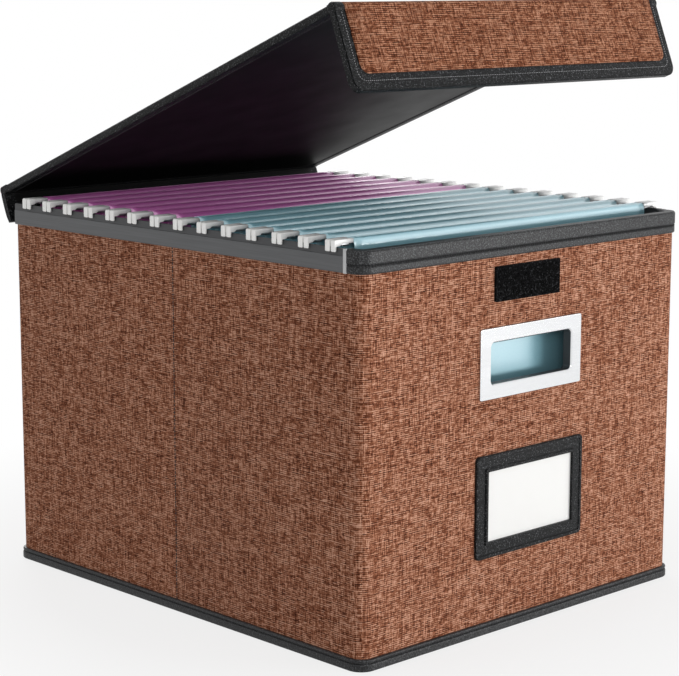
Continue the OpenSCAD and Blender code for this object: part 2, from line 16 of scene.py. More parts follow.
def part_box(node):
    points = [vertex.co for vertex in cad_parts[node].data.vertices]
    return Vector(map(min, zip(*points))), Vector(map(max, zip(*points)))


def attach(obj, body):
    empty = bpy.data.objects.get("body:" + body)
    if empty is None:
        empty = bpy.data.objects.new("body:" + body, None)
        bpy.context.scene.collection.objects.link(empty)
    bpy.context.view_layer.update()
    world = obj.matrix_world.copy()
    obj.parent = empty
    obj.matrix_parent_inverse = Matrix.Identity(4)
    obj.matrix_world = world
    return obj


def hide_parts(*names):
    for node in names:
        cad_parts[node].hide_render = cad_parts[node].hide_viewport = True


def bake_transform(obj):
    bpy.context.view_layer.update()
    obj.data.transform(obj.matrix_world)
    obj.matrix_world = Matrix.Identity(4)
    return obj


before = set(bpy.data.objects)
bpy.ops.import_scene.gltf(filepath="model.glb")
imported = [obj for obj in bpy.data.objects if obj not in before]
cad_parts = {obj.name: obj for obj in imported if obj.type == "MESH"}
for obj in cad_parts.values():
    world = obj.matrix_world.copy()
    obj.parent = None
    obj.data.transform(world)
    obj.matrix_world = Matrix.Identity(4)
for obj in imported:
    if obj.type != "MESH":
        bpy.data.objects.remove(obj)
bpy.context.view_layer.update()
MM = 0.001


# %% [markdown]
# ## Sizes that the looks share
#
# The frame gives the place of every part, so the script reads the outer sizes from there. The lid is stored open,
# and a sloping sheet is hard to think about. So everything on the lid is drawn as if it were shut, flat and square,
# and one matrix then turns it open about the piping on the back edge.

# %% Sizes from the frame
body_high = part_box("linen_cover")[1]
HALF_W, HALF_D = body_high.x, body_high.y
LID_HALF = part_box("lid_binding")[1].x
LID_T, LID_Z1 = 5.5 * MM, 278.5 * MM
CREASE_Y, ROLL_Z = -189.05 * MM, LID_Z1 - LID_T / 2
FLAP_FACE_Y, FLAP_BACK_Y, FLAP_LOW = -191.8 * MM, -186.3 * MM, 222.5 * MM
SIDE_BORDER = 9 * MM
PIPE = Vector((0, 185.0 * MM, 251.6 * MM))
LID_OPEN = math.radians(21.3)

open_lid = Matrix.Translation(PIPE) @ Matrix.Rotation(-LID_OPEN, 4, "X") @ Matrix.Translation(-PIPE)
print("half width", round(HALF_W, 4), "half depth", round(HALF_D, 4), "half lid", round(LID_HALF, 4))


# %% [markdown]
# ## Helpers for colours and nodes
#
# Colours are easiest to pick as the eye sees them, so they are written as sRGB hex codes and turned to the
# linear values that the renderer works in. A second helper adds one shader or geometry node, sets it and wires its
# inputs in a single call, so that a material reads from top to bottom. The others rest on it: a new material with
# its surface shader, a colour ramp, and a bump whose depth is given in millimetres.

# %% Colour and node helpers
def linear(code):
    parts = [int(code[i : i + 2], 16) / 255 for i in (1, 3, 5)]
    return [p / 12.92 if p <= 0.04045 else ((p + 0.055) / 1.055) ** 2.4 for p in parts] + [1.0]


def add(tree, kind, inputs=None, **settings):
    node = tree.nodes.new(kind)
    for key, value in settings.items():
        setattr(node, key, value)
    for key, value in (inputs or {}).items():
        if isinstance(value, bpy.types.NodeSocket):
            tree.links.new(value, node.inputs[key])
        else:
            node.inputs[key].default_value = value
    return node


def new_material(name, **shader):
    finish = bpy.data.materials.new(name)
    finish.use_nodes = True
    tree = finish.node_tree
    tree.nodes.clear()
    surface = add(tree, "ShaderNodeBsdfPrincipled", shader)
    add(tree, "ShaderNodeOutputMaterial", {"Surface": surface.outputs[0]})
    return finish, tree, surface


def ramp(tree, factor, stops):
    node = add(tree, "ShaderNodeValToRGB", {"Fac": factor})
    while len(node.color_ramp.elements) < len(stops):
        node.color_ramp.elements.new(0.5)
    for element, (place, code) in zip(node.color_ramp.elements, stops):
        element.position = place
        element.color = linear(code)
    return node.outputs["Color"]


def bump(tree, surface, height, depth_mm, strength=1.0):
    node = add(tree, "ShaderNodeBump", {"Height": height, "Distance": depth_mm * MM, "Strength": strength})
    tree.links.new(node.outputs["Normal"], surface.inputs["Normal"])


print("helpers ready")


# %% [markdown]
# ## Yarns
#
# Linen is a slubby plain weave: each yarn changes thickness and colour along its length, so the cloth shows short
# light and dark dashes both ways. One noise stretched along the yarns would do for a far view, but in it neighbours
# blur into one another. Here every yarn has a whole number, its index, and reads a line of its own in the noise.
# Sums of several such tones are needed later, so a helper adds them up with their weights.

# %% Yarn tones
YARN_GAP = 3.7  # from one yarn's line in the noise to the next one's: far enough for neighbours to differ


def math_node(tree, operation, a, b=0.0, c=0.0):
    return add(tree, "ShaderNodeMath", {0: a, 1: b, 2: c}, operation=operation).outputs[0]


def weighted(tree, *pairs):
    total = 0.0
    for field, weight in pairs:
        total = math_node(tree, "MULTIPLY_ADD", field, weight, total)
    return total


def dyed_yarn(tree, along, index, dash_mm, seed):
    """How light a yarn is at a place along it, in dashes of about the length given."""
    dashes = math_node(tree, "MULTIPLY", along, 1 / (dash_mm * MM))
    line = math_node(tree, "MULTIPLY", index, YARN_GAP)
    place = add(tree, "ShaderNodeCombineXYZ", {"X": dashes, "Y": line, "Z": seed}).outputs[0]
    return add(tree, "ShaderNodeTexNoise", {"Vector": place, "Scale": 1.0, "Detail": 1.0}).outputs["Fac"]


def cell_tone(tree, x, y, seed):
    """One even random tone for each cell of a grid."""
    cell = add(tree, "ShaderNodeCombineXYZ", {"X": x, "Y": y, "Z": seed}).outputs[0]
    return add(tree, "ShaderNodeTexWhiteNoise", {"Vector": cell}, noise_dimensions="3D").outputs["Value"]


print("yarn helpers ready")


# %% [markdown]
# ## Woven linen
#
# The weft runs across and the warp runs up, and at each crossing one of them lies on top, by turns, as on a
# chessboard. The cloth's own UV map is in metres, so its rows and columns are the yarns, and they run straight on
# every panel, also on the sloping lid. All the tones are added up, which lets both sets of yarns show at once, and
# a colour ramp turns the sum into colours, from the dark gaps to the pale tops: the shade in the gaps and the
# highlight on the round yarns are painted into that colour. Linen has next to no gloss.

# %% Material: woven linen
# Painted shade: each yarn's round back is drawn darker at its edges and lighter in its middle, in the colour itself.
ROUND_YARN_SHADE, MIDDLE = 0.6, 0.355  # how much a yarn's round back shades it, and the mean of that shading


def woven_linen(name, stops, yarn_mm, contrast, streak):
    finish, tree, surface = new_material(name, Roughness=0.9, **{"Specular IOR Level": 0.15})
    uv = add(tree, "ShaderNodeUVMap", uv_map="UVMap").outputs[0]
    u, v, _ = add(tree, "ShaderNodeSeparateXYZ", {"Vector": uv}).outputs
    u_yarns, v_yarns = (math_node(tree, "MULTIPLY", way, 1 / (yarn_mm * MM)) for way in (u, v))
    column, row = (math_node(tree, "FLOOR", way) for way in (u_yarns, v_yarns))
    warp_on_top = math_node(tree, "FLOORED_MODULO", math_node(tree, "ADD", column, row), 2.0)
    # Dashes of 6 and 8 mm, and slubs of 24 mm.
    weft, warp = dyed_yarn(tree, u, row, 6.0, 0.3), dyed_yarn(tree, v, column, 8.0, 9.7)
    weft_slub, warp_slub = dyed_yarn(tree, u, row, 24.0, 5.3), dyed_yarn(tree, v, column, 24.0, 15.7)
    # Crossings differ too: four neighbours along a weft yarn share a tone, and five along a warp yarn.
    weft_run = math_node(tree, "MULTIPLY_ADD", row, 0.37, math_node(tree, "DIVIDE", u_yarns, 4.0))
    warp_run = math_node(tree, "MULTIPLY_ADD", column, 0.41, math_node(tree, "DIVIDE", v_yarns, 5.0))
    weft_run, warp_run = math_node(tree, "FLOOR", weft_run), math_node(tree, "FLOOR", warp_run)
    # Every second row is painted lighter: painted light and shade of fine ribs across the cloth.
    rib = math_node(tree, "FLOORED_MODULO", row, 2.0)
    shown = weighted(
        tree, (weft, 0.24), (warp, 0.2), (weft_slub, streak), (warp_slub, 0.14), (rib, 0.07),
        (cell_tone(tree, weft_run, row, 0.0), 0.23 - streak), (cell_tone(tree, column, warp_run, 7.0), 0.07),
        (cell_tone(tree, column, row, 19.0), 0.05),
    )
    # Across its own thickness a yarn is round: the profile paints shade on its edges and a highlight on its middle,
    # and drives the bump too.
    round_v, round_u = (
        math_node(tree, "ABSOLUTE", math_node(tree, "SINE", math_node(tree, "MULTIPLY", way, math.pi)))
        for way in (v_yarns, u_yarns)
    )
    profile = add(tree, "ShaderNodeMix", {0: warp_on_top, 2: round_v, 3: round_u}, data_type="FLOAT").outputs[0]
    spread = math_node(tree, "MULTIPLY_ADD", shown, contrast, 0.5 - 0.5 * contrast)
    shade = math_node(tree, "MULTIPLY_ADD", profile, ROUND_YARN_SHADE, math_node(tree, "SUBTRACT", spread, MIDDLE))
    tree.links.new(ramp(tree, shade, stops), surface.inputs["Base Color"])
    bump(tree, surface, profile, 0.12, 0.5)
    return finish


# The yarns are about 0.64 mm wide. The photograph has less than a pixel for each, and merges them into broader
# ribs, so single threads show there as these dashes do. The lid's cloth is drawn a little darker, as painted shade,
# and more streaked.
YARN_MM = 0.64
LINEN_DYES_AND_YARN_SHADE = [(0.0, "#34150c"), (0.28, "#60301c"), (0.5, "#844e33"), (0.72, "#a76f54"), (1.0, "#d4a68d")]
# The lid's stops are the body's made darker: painted shade, as the lid and flap get less light than the front.
LID_DYES_PAINTED_DARKER = [(0.0, "#301309"), (0.28, "#562915"), (0.5, "#774329"), (0.72, "#986246"), (1.0, "#c6967b")]
linen = woven_linen("woven_linen", LINEN_DYES_AND_YARN_SHADE, YARN_MM, 3.9, 0.12)
lid_cloth_painted_darker = woven_linen("woven_linen_lid", LID_DYES_PAINTED_DARKER, YARN_MM, 4.1, 0.14)
print("materials", linen.name, "and", lid_cloth_painted_darker.name)


# %% [markdown]
# ## Binding tape
#
# The edges are bound in a charcoal tape: cotton woven on the slant, under a leather-like coating. Two sets of
# slanting ribs cross in a lattice, a noise breaks them up, and the colour is paler where they stand higher and
# darker where they lie low. The ribs read the object's own place, as the tape is a solid part with no UV map. The
# tape of the rim and the base is glossier than the one on the lid and the label frame, so the function takes its
# colours and its gloss.

# %% Material: coated binding tape
RIB_MM = 0.9  # the slanting ribs, and below the bumps of the coating: both drawn about twice the real size
PEBBLES_PER_MM = 1.1


def coated_tape(name, stops, gloss):
    finish, tree, surface = new_material(name, **{"Specular IOR Level": gloss})
    place = add(tree, "ShaderNodeTexCoord").outputs["Object"]
    x, y, z = add(tree, "ShaderNodeSeparateXYZ", {"Vector": place}).outputs
    level = math_node(tree, "ADD", x, y)
    turn = math.pi / (RIB_MM * MM)
    ribs = []
    for sign in (1, -1):
        slant = math_node(tree, "MULTIPLY_ADD", z, sign, level)
        ribs.append(math_node(tree, "SINE", math_node(tree, "MULTIPLY", slant, turn)))
    lattice = math_node(tree, "MULTIPLY_ADD", math_node(tree, "MULTIPLY", *ribs), 0.5, 0.5)
    pebbles = {"Vector": place, "Scale": PEBBLES_PER_MM / MM, "Detail": 2.0}
    spots = add(tree, "ShaderNodeTexNoise", pebbles).outputs["Fac"]
    height = weighted(tree, (lattice, 0.15), (spots, 0.85))
    tree.links.new(ramp(tree, height, stops), surface.inputs["Base Color"])
    tree.links.new(math_node(tree, "MULTIPLY_ADD", spots, 0.2, 0.36), surface.inputs["Roughness"])
    bump(tree, surface, height, 0.12, 0.7)
    return finish


binding = coated_tape("coated_binding_tape", [(0.36, "#060607"), (0.5, "#161719"), (0.66, "#505153")], 0.3)
dark_binding = coated_tape(
    "dark_binding_tape", [(0.38, "#010102"), (0.5, "#08090a"), (0.6, "#222325"), (0.7, "#707173")], 0.14
)
print("materials", binding.name, "and", dark_binding.name)


# %% [markdown]
# ## Plastics, metals, card, lining and thread
#
# The rails are extruded ABS, so they carry faint lines along their length, and the frames of the grips are satin
# nickel plate over a brushed pressing. The floor pad is a black satin, the label is plain card, and the thread is
# polyester. All of them are a base colour with a grain, and they differ in how far the grain is stretched, so one
# function serves them. A fine noise gives the grain, and a slow one lets colour and gloss drift from place to place.

# %% Materials: grained surfaces
DRIFT_PER_MM = 0.03  # slow patches, some 33 mm wide


def grained(name, colour_a, colour_b, stretch, rough, bump_mm, grain_mm, seed=0.0, **shader):
    finish, tree, surface = new_material(name, **shader)
    place = add(tree, "ShaderNodeTexCoord").outputs["Object"]
    scaled = add(tree, "ShaderNodeMapping", {"Vector": place, "Scale": stretch, "Location": (seed, seed, 0)})
    grain = {"Vector": scaled.outputs[0], "Scale": 1 / (grain_mm * MM), "Detail": 2.0, "Roughness": 0.6}
    fine = add(tree, "ShaderNodeTexNoise", grain).outputs["Fac"]
    drift = {"Vector": scaled.outputs[0], "Scale": DRIFT_PER_MM / MM, "Detail": 2.0}
    slow = add(tree, "ShaderNodeTexNoise", drift).outputs["Fac"]
    colour = ramp(tree, weighted(tree, (slow, 0.3), (fine, 0.7)), [(0.3, colour_a), (0.7, colour_b)])
    tree.links.new(colour, surface.inputs["Base Color"])
    tree.links.new(math_node(tree, "MULTIPLY_ADD", slow, 0.16, rough - 0.08), surface.inputs["Roughness"])
    bump(tree, surface, fine, bump_mm, 0.5)
    return finish


extruded_abs = grained("extruded_abs", "#48494b", "#5a5b5d", (1.0, 0.01, 1.0), 0.42, 0.03, 0.6)
# The rib's material is darker as painted shade, where the hooks shade the rib.
rib_abs_painted_shade = grained("matt_abs_rib", "#2c2d2f", "#3a3b3d", (1.0, 0.01, 1.0), 0.5, 0.02, 0.5)
cap_abs = grained("pale_abs_cap", "#b9babb", "#cfd0d1", (1, 1, 0.05), 0.35, 0.01, 0.5)
moulded_abs = grained("moulded_abs", "#343537", "#404143", (1, 1, 1), 0.5, 0.03, 0.6)
satin_nickel = grained("satin_nickel_plate", "#d8d9db", "#dedfe0", (0.03, 1, 1), 0.2, 0.004, 0.35, Metallic=1.0)
bright_steel = grained("bright_steel_strip", "#8f9091", "#a9aaab", (0.1, 1, 1), 0.3, 0.01, 0.4, Metallic=1.0)
white_card = grained("white_card", "#e9e9e7", "#eeeeec", (1, 1, 1), 0.6, 0.02, 0.4)
greyboard = grained("greyboard", "#7f7a70", "#989287", (1, 1, 1), 0.9, 0.08, 0.7)
black_satin = grained("black_satin_lining", "#020202", "#050506", (1, 1, 0.2), 0.5, 0.02, 0.4,
                      **{"Specular IOR Level": 0.16})
thread = grained("black_thread", "#0c0c0d", "#1c1c1e", (1, 1, 1), 0.6, 0.03, 0.3)
pale_thread = grained("grey_thread", "#8a8a8c", "#b4b4b6", (1, 1, 1), 0.6, 0.03, 0.3)
print("materials:", len(bpy.data.materials))


# %% [markdown]
# ## Pearly card
#
# The folders are dyed card with a pearl coating: mica flakes in a clear layer give it a soft metallic shine that
# brightens along every fold. Part metal, part dye and a clear coat give the same, over a faint fibre mottle.

# %% Material: pearly card
def pearly_card(name, colour_a, colour_b, seed):
    coat = {"Coat Weight": 1.0, "Coat Roughness": 0.27, "Coat IOR": 2.3, "Metallic": 0.1}
    return grained(name, colour_a, colour_b, (1, 1, 1), 0.34, 0.02, 0.6, seed=seed, **coat)


purple_card = pearly_card("pearly_purple_card", "#cf68ba", "#db76c6", 0.0)
blue_card = pearly_card("pearly_blue_card", "#86bccc", "#96c9d6", 3.0)
print("materials", purple_card.name, "and", blue_card.name)


# %% [markdown]
# ## Coated steel
#
# The hooks are steel strip dipped in white nylon. Their colour runs from white over the prong to grey towards the
# fold: painted shade on the bar where it runs in to the fold.

# %% Material: nylon-dipped steel
def dipped_steel(name):
    finish, tree, surface = new_material(name, Roughness=0.3, **{"Coat Weight": 0.3, "Coat Roughness": 0.15})
    place = add(tree, "ShaderNodeTexCoord").outputs["Object"]
    x, _, _ = add(tree, "ShaderNodeSeparateXYZ", {"Vector": place}).outputs
    fold_shade_span = {0: math_node(tree, "ABSOLUTE", x), 1: 143.0 * MM, 2: 156.0 * MM, 3: 0.0, 4: 1.0}
    painted_fold_shade = add(tree, "ShaderNodeMapRange", fold_shade_span).outputs[0]
    # The grey end of these stops is painted shade on the bar towards the fold.
    dip = [(0.0, "#a9abac"), (0.5, "#f0f0ef"), (1.0, "#fdfdfb")]
    tree.links.new(ramp(tree, painted_fold_shade, dip), surface.inputs["Base Color"])
    return finish


coated_steel = dipped_steel("nylon_dipped_steel")
print("material", coated_steel.name)


# %% [markdown]
# ## Loop tape
#
# The closure is nylon loop tape: nearly black, with single loops that catch the light. The loops themselves are
# built further on, as geometry. The material only breaks the black up into paler specks, one or so to a loop.

# %% Material: loop tape
LOOPS_PER_MM = 0.9


def nylon_pile(name):
    finish, tree, surface = new_material(name, Roughness=0.9, **{"Specular IOR Level": 0.1})
    place = add(tree, "ShaderNodeTexCoord").outputs["Object"]
    loops = {"Vector": place, "Scale": LOOPS_PER_MM / MM, "Detail": 2.0}
    specks = add(tree, "ShaderNodeTexNoise", loops).outputs["Fac"]
    nylon = [(0.4, "#010101"), (0.58, "#050506"), (0.7, "#3c3c3e")]
    tree.links.new(ramp(tree, specks, nylon), surface.inputs["Base Color"])
    return finish


loop_tape = nylon_pile("nylon_loop_tape")
print("material", loop_tape.name)


# %% [markdown]
# ## Finishes on the parts that keep their CAD shape
#
# Many parts already have their true shape, with rolled edges and grooves, so they only need their material. The
# mesh of such a part is left as it came.

# %% Finish the carried-over parts
FINISHES = {
    binding: ["base_binding", "rim_binding_front", "rim_binding_back"],
    dark_binding: ["label_frame", "spine_binding", "lid_binding", "flap_binding"],
    extruded_abs: ["left_rail", "right_rail"],
    moulded_abs: ["front_handle_backing", "back_handle_backing"],
    satin_nickel: ["front_handle_bezel", "back_handle_bezel"],
    greyboard: ["base_board", "front_board", "back_board", "left_side_boards", "right_side_boards",
                "lid_board", "flap_board"],
    black_satin: ["base_cover", "base_pad", "inner_lining", "lid_spine", "lid_lining", "flap_lining"],
    loop_tape: ["closure_loop_patch", "closure_hook_patch"],
    white_card: ["label_card"],
    coated_steel: [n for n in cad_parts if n.startswith("rods_")],
    purple_card: ["folder_%02d" % i for i in range(1, 8)],
    blue_card: ["folder_%02d" % i for i in range(8, 15)],
}


def finish_part(node, material):
    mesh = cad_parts[node].data
    mesh.materials.clear()
    mesh.materials.append(material)


for material, nodes in FINISHES.items():
    for node in nodes:
        finish_part(node, material)
print("finished", sum(len(n) for n in FINISHES.values()), "parts")


# %% [markdown]
# ## Linen on the body
#
# The body's cover is one length of cloth that runs round all four sides. Its mesh is a copy of the CAD part, so
# the openings and the fold grooves are where they should be, and it gains a UV map: across is the distance
# round the box, up is the height. A copied CAD mesh is loose triangles, so its doubles are merged first.

# %% Build: body linen
def new_piece(name, mesh, *materials):
    """Puts a mesh into the scene as an object at the origin."""
    for material in materials:
        mesh.materials.append(material)
    piece = bpy.data.objects.new(name, mesh)
    bpy.context.collection.objects.link(piece)
    return piece


def smooth(mesh):
    for face in mesh.polygons:
        face.use_smooth = True


def merge_doubles(piece, distance=0.00001):
    shell = bmesh.new()
    shell.from_mesh(piece.data)
    bmesh.ops.remove_doubles(shell, verts=shell.verts, dist=distance)
    shell.to_mesh(piece.data)
    shell.free()
    piece.data.set_sharp_from_angle(angle=math.radians(35))
    smooth(piece.data)


def cloth_uv(piece, rule):
    layer = piece.data.uv_layers.new(name="UVMap")
    for face in piece.data.polygons:
        for loop in face.loop_indices:
            point = piece.data.vertices[piece.data.loops[loop].vertex_index].co
            layer.data[loop].uv = rule(point, face.normal)


def round_the_box(point, normal):
    if abs(normal.z) > 0.9:
        return (point.x, point.y)
    if abs(normal.y) >= abs(normal.x):
        along = point.x if normal.y < 0 else 4 * HALF_D - point.x
    else:
        along = HALF_W + point.y + HALF_D if normal.x > 0 else -HALF_W - point.y - HALF_D
    return (along, point.z)


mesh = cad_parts["linen_cover"].data.copy()
mesh.materials.clear()
body_linen = new_piece("body_linen", mesh, linen)
merge_doubles(body_linen)
cloth_uv(body_linen, round_the_box)
print("body linen:", len(body_linen.data.polygons), "faces")


# %% [markdown]
# ## Sheets that follow a line
#
# The cloth and tape on the lid are all sheets that look the same from end to end. So a sheet is drawn as a line in
# the side view, spread sideways over columns, and given a thickness by a Solidify modifier. Its UV map measures the
# distance along the line, so the weave isn't stretched where the sheet bends. The modifier is then applied, and the
# sheet is turned open with the lid: the mesh has to hold the place, as the object stays at the origin.

# %% Helpers: sheets and settled meshes
def strip(name, line, half_widths, material, columns, thickness=0.6 * MM, shift=0.0):
    """A sheet that follows a line of (y, z) points, with its front to the outside."""
    rows = [0.0]
    for a, b in zip(line, line[1:]):
        rows.append(rows[-1] + math.dist(a, b))
    spread = [-1 + 2 * i / columns for i in range(columns + 1)]
    points = [(x * half + shift, y, z) for (y, z), half in zip(line, half_widths) for x in spread]
    wide = columns + 1
    corners = [r * wide + c for r in range(len(line) - 1) for c in range(columns)]
    mesh = bpy.data.meshes.new(name)
    mesh.from_pydata(points, [], [(i, i + 1, i + wide + 1, i + wide) for i in corners])
    layer = mesh.uv_layers.new(name="UVMap")
    smooth(mesh)
    for loop in mesh.loops:
        layer.data[loop.index].uv = (points[loop.vertex_index][0], rows[loop.vertex_index // wide])
    piece = new_piece(name, mesh, material)
    solid = piece.modifiers.new("thickness", "SOLIDIFY")
    solid.thickness, solid.offset = thickness, -1.0
    return piece


def finished_mesh(piece, matrix):
    """The mesh that a piece's modifiers make of it, turned to its place."""
    bpy.context.view_layer.update()
    graph = bpy.context.evaluated_depsgraph_get()
    mesh = bpy.data.meshes.new_from_object(piece.evaluated_get(graph))
    mesh.transform(matrix)
    return mesh


def settle(piece, matrix=Matrix()):
    mesh = finished_mesh(piece, matrix)
    piece.modifiers.clear()
    piece.data = mesh
    return piece


def arc(x, y, radius, start, end, steps):
    """Points on an arc between two angles in degrees."""
    angles = [math.radians(start + (end - start) * i / steps) for i in range(steps + 1)]
    return [(x + radius * math.cos(a), y + radius * math.sin(a)) for a in angles]


print("sheet helpers ready")


# %% [markdown]
# ## Linen on the lid
#
# One sheet covers the lid's top, bends over the front crease and comes down the flap, whose lower corners are
# round. It is cut finest at the crease, where it bends when the flap turns, and at the round corners.

# %% Build: lid linen
CREASE_R = LID_T / 2 + 0.35 * MM
LINEN_HALF = LID_HALF - SIDE_BORDER + 0.4 * MM
LINEN_LOW, CORNER_R = 233.1 * MM, 6.5 * MM
FLAP_ROWS = (275.2, 272, 266, 260, 254, 248, 242, 239.5, 237.8, 236.4, 235.2, 234.3, 233.7, 233.3, 233.1)
top_z, back_y = LID_Z1 + 0.1 * MM, PIPE.y - 3 * MM
line = [(back_y - (back_y - CREASE_Y) * i / 24, top_z) for i in range(25)]
line += arc(CREASE_Y, ROLL_Z, CREASE_R, 100, 170, 7)
line += [(FLAP_FACE_Y - 0.1 * MM, z * MM) for z in FLAP_ROWS]
half_widths = []
for _, z in line:
    rise = min(max(LINEN_LOW + CORNER_R - z, 0.0), CORNER_R)
    half_widths.append(LINEN_HALF - CORNER_R + math.sqrt(CORNER_R**2 - rise**2))
lid_linen = settle(strip("lid_linen", line, half_widths, lid_cloth_painted_darker, 24), open_lid)
print("lid linen:", len(lid_linen.data.polygons), "faces")


# %% [markdown]
# ## Linen hinge at the back
#
# The same cloth goes on over the rear roll and down the spine strip to the piping, so the hinge is one strip of
# linen that bends between the spine and the lid. It bows outwards by just under 3 mm, which is as far as it can and
# still clear the back of the box when the lid is folded right down. A rounded tape binds each of its ends.

# %% Build: rear linen and its tapes
def rear_line(inset_mm):
    """The hinge strip from the side, as it bows a little outwards from the lid's top down to the piping."""
    shape = [(-6, 278.65), (-3.4, 278.65), (-1.4, 278.5), (0.2, 277.9), (1.4, 276.8), (2.1, 275.4), (2.5, 273.8),
             (2.75, 271.8), (2.85, 269.2), (2.85, 263), (2.8, 259), (2.6, 256.5), (2.2, 254.6), (1.6, 252.9),
             (1.0, 251.7)]
    return [((PIPE.y / MM + y - min(max(y + 1, 0), 1) * inset_mm) * MM, (z - 0.04 * inset_mm) * MM) for y, z in shape]


line = rear_line(0.35)[2:-1]
rear_linen = settle(strip("rear_linen", line, [LINEN_HALF] * len(line), lid_cloth_painted_darker, 24), open_lid)
line, half = rear_line(0.0), (LID_HALF - LINEN_HALF) / 2 + 0.1 * MM
rear_tapes = []
for name, side in (("left_rear_tape", -1), ("right_rear_tape", 1)):
    tape = strip(name, line, [half] * len(line), dark_binding, 4, 1.3 * MM, side * (LINEN_HALF + half))
    soft = tape.modifiers.new("soft", "BEVEL")
    soft.width, soft.segments, soft.limit_method, soft.angle_limit = 0.5 * MM, 2, "ANGLE", math.radians(50)
    rear_tapes.append(settle(tape, open_lid))
for piece in (lid_linen, rear_linen, *rear_tapes):
    up = sum((p.normal.z * p.area for p in piece.data.polygons if p.center.z > 0.27), 0.0)
    print(piece.name, "faces", len(piece.data.polygons), "net up", round(up, 5))


# %% [markdown]
# ## Hanging folders
#
# Each folder is card folded round two wires. Real card never hangs flat: the leaves bow a little and every
# folder does so in its own way. The section is drawn once, as the eye would see it from the side, and swept
# along the wires with a slow bow added, seeded so that each folder differs and every run gives the same box.

# %% The shape of a folder
def folder_section():
    """Half a folder from the side, as (y, z) offsets from its middle: top fold, leaf, and half bottom fold."""
    top, low, out = 271.0, 33.0, 4.55
    wide, tall, puff = 3.4, 5.6, 5.1
    points = [(0.35, 268.2), (0.55, 269.4), (0.95, 270.3)]
    points += [(puff - wide + wide * x, top - tall + tall * z) for x, z in arc(0, 0, 1, 98, 0, 12)]
    points += [(5.08, 263), (5.0, 260), (4.85, 256)]
    points += [(out, z) for z in (250, 240, 225, 205, 180, 150, 120, 90, 65, 48, 40)]
    return points + arc(0, low + out, out, -11.25, -90, 7)


def outline_half(z):
    """Half the sheet's length at a height: narrow at the top fold, round at the shoulders, wide below."""
    wide, narrow, shoulder = 146.75, 143.0, 256.2
    radius = wide - narrow
    if z <= shoulder:
        return wide
    if z >= shoulder + radius:
        return narrow
    return narrow + math.sqrt(max(radius**2 - (z - shoulder) ** 2, 0.0))


def bow(chance):
    """A slow bow of a leaf: how far it leaves its plane at a place along and down the sheet."""
    waves = [(chance.uniform(0.5, 1.6), chance.uniform(0, 6.3), chance.uniform(0.3, 0.9)) for _ in range(3)]

    def height(x, z):
        hang = max(0.0, min(1.0, (266 - z) / 60)) * max(0.0, min(1.0, (z - 33) / 40))
        return hang * sum(size * math.sin(rate * x / 90 + phase + z / 140) for rate, phase, size in waves)

    return height


print("folder section:", len(folder_section()), "points")


# %% [markdown]
# ## Fourteen folders
#
# A folder's two leaves are grids, one for each side, that meet along the top and the bottom fold. Their doubled
# edge is merged there, and Solidify gives the card its thickness. Each folder has its own seed, 41 to 54.

# %% Build: card folders
FIRST_SEED, COLUMNS, BOW = 40, 36, 0.55


def card_folder(index, middle, material):
    chance = random.Random(FIRST_SEED + index)
    section = folder_section()
    points, faces = [], []
    for side in (1, -1):
        leaf_bow = bow(chance)
        start = len(points)
        for y, z in section:
            half = outline_half(z)
            for c in range(COLUMNS + 1):
                x = -half + 2 * half * c / COLUMNS
                points.append((x * MM, (middle + side * (y + leaf_bow(x, z) * BOW)) * MM, z * MM))
        wide = COLUMNS + 1
        for corner in (start + r * wide + c for r in range(len(section) - 1) for c in range(COLUMNS)):
            quad = (corner, corner + wide, corner + wide + 1, corner + 1)
            faces.append(quad if side < 0 else quad[::-1])
    mesh = bpy.data.meshes.new("card_folder_%02d" % index)
    mesh.from_pydata(points, [], faces)
    smooth(mesh)
    piece = new_piece(mesh.name, mesh, material)
    merge_doubles(piece, 0.05 * MM)
    solid = piece.modifiers.new("thickness", "SOLIDIFY")
    solid.thickness, solid.offset = 0.55 * MM, -1.0
    return settle(piece)


def folder_middle(index):
    """A folder's place along the rails, in mm, from its CAD part."""
    low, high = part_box("folder_%02d" % index)
    return (low.y + high.y) / 2 / MM


folder_pieces = [card_folder(i, folder_middle(i), purple_card if i < 8 else blue_card) for i in range(1, 15)]
print("folders:", len(folder_pieces), "of", len(folder_pieces[0].data.polygons), "faces each")


# %% [markdown]
# ## Hooks
#
# Each folder hangs by two rods, and each rod ends in a hook: a bar, a foot that rests on the rail's rib, and a
# prong that drops outside it. The outline is drawn from the front and given a thickness. A bevel then rounds all
# its edges, as the nylon dip does. Below the bar a bare strip of the steel shows over the rail.

# %% Build: hooks
ROD_OFFSET, HOOK_T, STEEL_T = 2.6, 3.9, 1.4
STEEL_STRIP = [(144.5, 266.5), (153.4, 266.5), (153.4, 268.6), (146.5, 268.6)]


def hook_outline():
    """Corners of a hook from the front, in mm, for the right-hand end."""
    prong_in, prong_out, top, low = 157.75, 159.5, 271.0, 263.5
    tip = (prong_out - prong_in) / 2
    points = [(143.2, 268.0), (153.5, 268.0), (154.5, 266.7), (prong_in, 266.7)]
    points += arc(prong_in + tip, low + tip, tip, 180, 360, 8)
    points += arc(prong_out - 1.2, top - 1.2, 1.2, 0, 90, 4)
    return points + [(143.2, top)]


def plate(points, faces, outline, sign, middle, thick):
    """Adds an outline in x and z as a plate of a thickness around a place in y."""
    start, count = len(points), len(outline)
    for y in (middle - thick / 2, middle + thick / 2):
        points += [(sign * x * MM, y * MM, z * MM) for x, z in outline]
    front = list(range(start, start + count))
    back = [i + count for i in front]
    sides = [(back[i], back[(i + 1) % count], front[(i + 1) % count], front[i]) for i in range(count)]
    sheet = [tuple(reversed(front)), tuple(back)] + sides
    faces += sheet if sign < 0 else [tuple(reversed(face)) for face in sheet]


def face_outwards(mesh):
    shell = bmesh.new()
    shell.from_mesh(mesh)
    bmesh.ops.recalc_face_normals(shell, faces=shell.faces)
    shell.to_mesh(mesh)
    shell.free()


